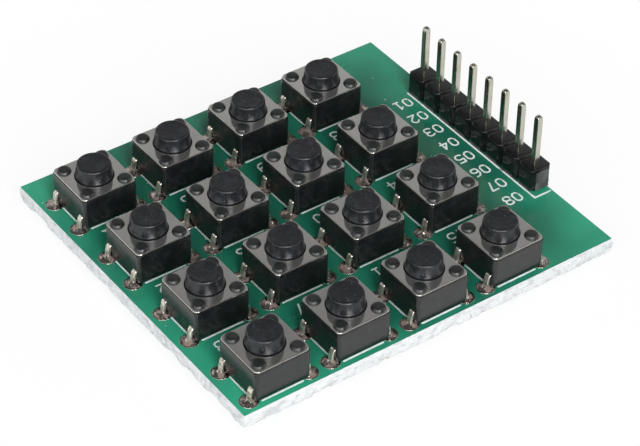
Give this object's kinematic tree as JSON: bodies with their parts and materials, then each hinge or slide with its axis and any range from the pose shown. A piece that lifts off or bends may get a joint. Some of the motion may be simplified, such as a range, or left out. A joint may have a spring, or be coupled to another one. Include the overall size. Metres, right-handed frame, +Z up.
{
  "type": "matrix keypad",
  "caption": "Small keypad module: push-button switches in rows and columns on a bare circuit board, with a straight pin header along one edge to read the matrix.",
  "frame": {"origin": "under the middle of the module's bounding box, at the level of the leg tips it stands on", "axes": "+X along the pin header, from the first pin to the last; +Y from the front edge to the header's edge; +Z up, the way the buttons point"},
  "size_m": [0.0392, 0.0432, 0.0112],
  "materials": {
    "board": "green solder mask on glass fibre",
    "moulding": "black moulded plastic, semi-gloss",
    "button_plastic": "black moulded plastic, satin",
    "cover_steel": "bright plated steel",
    "tinned_metal": "tinned brass",
    "spring_steel": "spring steel"
  },
  "bodies": {
    "module": {"circuit_board": "board", "header_housing": "moulding", "header_pins": "tinned_metal", "switch_base_r1c1": "moulding", "switch_base_r1c2": "moulding", "switch_base_r1c3": "moulding", "switch_base_r1c4": "moulding", "switch_base_r2c1": "moulding", "switch_base_r2c2": "moulding", "switch_base_r2c3": "moulding", "switch_base_r2c4": "moulding", "switch_base_r3c1": "moulding", "switch_base_r3c2": "moulding", "switch_base_r3c3": "moulding", "switch_base_r3c4": "moulding", "switch_base_r4c1": "moulding", "switch_base_r4c2": "moulding", "switch_base_r4c3": "moulding", "switch_base_r4c4": "moulding", "switch_covers_r1": "cover_steel", "switch_covers_r2": "cover_steel", "switch_covers_r3": "cover_steel", "switch_covers_r4": "cover_steel", "switch_terminals_r1": "tinned_metal", "switch_terminals_r2": "tinned_metal", "switch_terminals_r3": "tinned_metal", "switch_terminals_r4": "tinned_metal", "snap_dome_r1c1": "spring_steel", "snap_dome_r1c2": "spring_steel", "snap_dome_r1c3": "spring_steel", "snap_dome_r1c4": "spring_steel", "snap_dome_r2c1": "spring_steel", "snap_dome_r2c2": "spring_steel", "snap_dome_r2c3": "spring_steel", "snap_dome_r2c4": "spring_steel", "snap_dome_r3c1": "spring_steel", "snap_dome_r3c2": "spring_steel", "snap_dome_r3c3": "spring_steel", "snap_dome_r3c4": "spring_steel", "snap_dome_r4c1": "spring_steel", "snap_dome_r4c2": "spring_steel", "snap_dome_r4c3": "spring_steel", "snap_dome_r4c4": "spring_steel"},
    "button_r1c1": {"button_r1c1": "button_plastic"},
    "button_r1c2": {"button_r1c2": "button_plastic"},
    "button_r1c3": {"button_r1c3": "button_plastic"},
    "button_r1c4": {"button_r1c4": "button_plastic"},
    "button_r2c1": {"button_r2c1": "button_plastic"},
    "button_r2c2": {"button_r2c2": "button_plastic"},
    "button_r2c3": {"button_r2c3": "button_plastic"},
    "button_r2c4": {"button_r2c4": "button_plastic"},
    "button_r3c1": {"button_r3c1": "button_plastic"},
    "button_r3c2": {"button_r3c2": "button_plastic"},
    "button_r3c3": {"button_r3c3": "button_plastic"},
    "button_r3c4": {"button_r3c4": "button_plastic"},
    "button_r4c1": {"button_r4c1": "button_plastic"},
    "button_r4c2": {"button_r4c2": "button_plastic"},
    "button_r4c3": {"button_r4c3": "button_plastic"},
    "button_r4c4": {"button_r4c4": "button_plastic"}
  },
  "joints": [
    {"name": "press_r1c1", "type": "slide", "parent": "module", "child": "button_r1c1", "axis": [0, 0, -1], "range_m": [0, 0.00025], "stiffness_N_per_m": 4000, "springref_m": -0.0001, "deforming": ["snap_dome_r1c1"]},
    {"name": "press_r1c2", "type": "slide", "parent": "module", "child": "button_r1c2", "axis": [0, 0, -1], "range_m": [0, 0.00025], "stiffness_N_per_m": 4000, "springref_m": -0.0001, "deforming": ["snap_dome_r1c2"]},
    {"name": "press_r1c3", "type": "slide", "parent": "module", "child": "button_r1c3", "axis": [0, 0, -1], "range_m": [0, 0.00025], "stiffness_N_per_m": 4000, "springref_m": -0.0001, "deforming": ["snap_dome_r1c3"]},
    {"name": "press_r1c4", "type": "slide", "parent": "module", "child": "button_r1c4", "axis": [0, 0, -1], "range_m": [0, 0.00025], "stiffness_N_per_m": 4000, "springref_m": -0.0001, "deforming": ["snap_dome_r1c4"]},
    {"name": "press_r2c1", "type": "slide", "parent": "module", "child": "button_r2c1", "axis": [0, 0, -1], "range_m": [0, 0.00025], "stiffness_N_per_m": 4000, "springref_m": -0.0001, "deforming": ["snap_dome_r2c1"]},
    {"name": "press_r2c2", "type": "slide", "parent": "module", "child": "button_r2c2", "axis": [0, 0, -1], "range_m": [0, 0.00025], "stiffness_N_per_m": 4000, "springref_m": -0.0001, "deforming": ["snap_dome_r2c2"]},
    {"name": "press_r2c3", "type": "slide", "parent": "module", "child": "button_r2c3", "axis": [0, 0, -1], "range_m": [0, 0.00025], "stiffness_N_per_m": 4000, "springref_m": -0.0001, "deforming": ["snap_dome_r2c3"]},
    {"name": "press_r2c4", "type": "slide", "parent": "module", "child": "button_r2c4", "axis": [0, 0, -1], "range_m": [0, 0.00025], "stiffness_N_per_m": 4000, "springref_m": -0.0001, "deforming": ["snap_dome_r2c4"]},
    {"name": "press_r3c1", "type": "slide", "parent": "module", "child": "button_r3c1", "axis": [0, 0, -1], "range_m": [0, 0.00025], "stiffness_N_per_m": 4000, "springref_m": -0.0001, "deforming": ["snap_dome_r3c1"]},
    {"name": "press_r3c2", "type": "slide", "parent": "module", "child": "button_r3c2", "axis": [0, 0, -1], "range_m": [0, 0.00025], "stiffness_N_per_m": 4000, "springref_m": -0.0001, "deforming": ["snap_dome_r3c2"]},
    {"name": "press_r3c3", "type": "slide", "parent": "module", "child": "button_r3c3", "axis": [0, 0, -1], "range_m": [0, 0.00025], "stiffness_N_per_m": 4000, "springref_m": -0.0001, "deforming": ["snap_dome_r3c3"]},
    {"name": "press_r3c4", "type": "slide", "parent": "module", "child": "button_r3c4", "axis": [0, 0, -1], "range_m": [0, 0.00025], "stiffness_N_per_m": 4000, "springref_m": -0.0001, "deforming": ["snap_dome_r3c4"]},
    {"name": "press_r4c1", "type": "slide", "parent": "module", "child": "button_r4c1", "axis": [0, 0, -1], "range_m": [0, 0.00025], "stiffness_N_per_m": 4000, "springref_m": -0.0001, "deforming": ["snap_dome_r4c1"]},
    {"name": "press_r4c2", "type": "slide", "parent": "module", "child": "button_r4c2", "axis": [0, 0, -1], "range_m": [0, 0.00025], "stiffness_N_per_m": 4000, "springref_m": -0.0001, "deforming": ["snap_dome_r4c2"]},
    {"name": "press_r4c3", "type": "slide", "parent": "module", "child": "button_r4c3", "axis": [0, 0, -1], "range_m": [0, 0.00025], "stiffness_N_per_m": 4000, "springref_m": -0.0001, "deforming": ["snap_dome_r4c3"]},
    {"name": "press_r4c4", "type": "slide", "parent": "module", "child": "button_r4c4", "axis": [0, 0, -1], "range_m": [0, 0.00025], "stiffness_N_per_m": 4000, "springref_m": -0.0001, "deforming": ["snap_dome_r4c4"]}
  ]
}
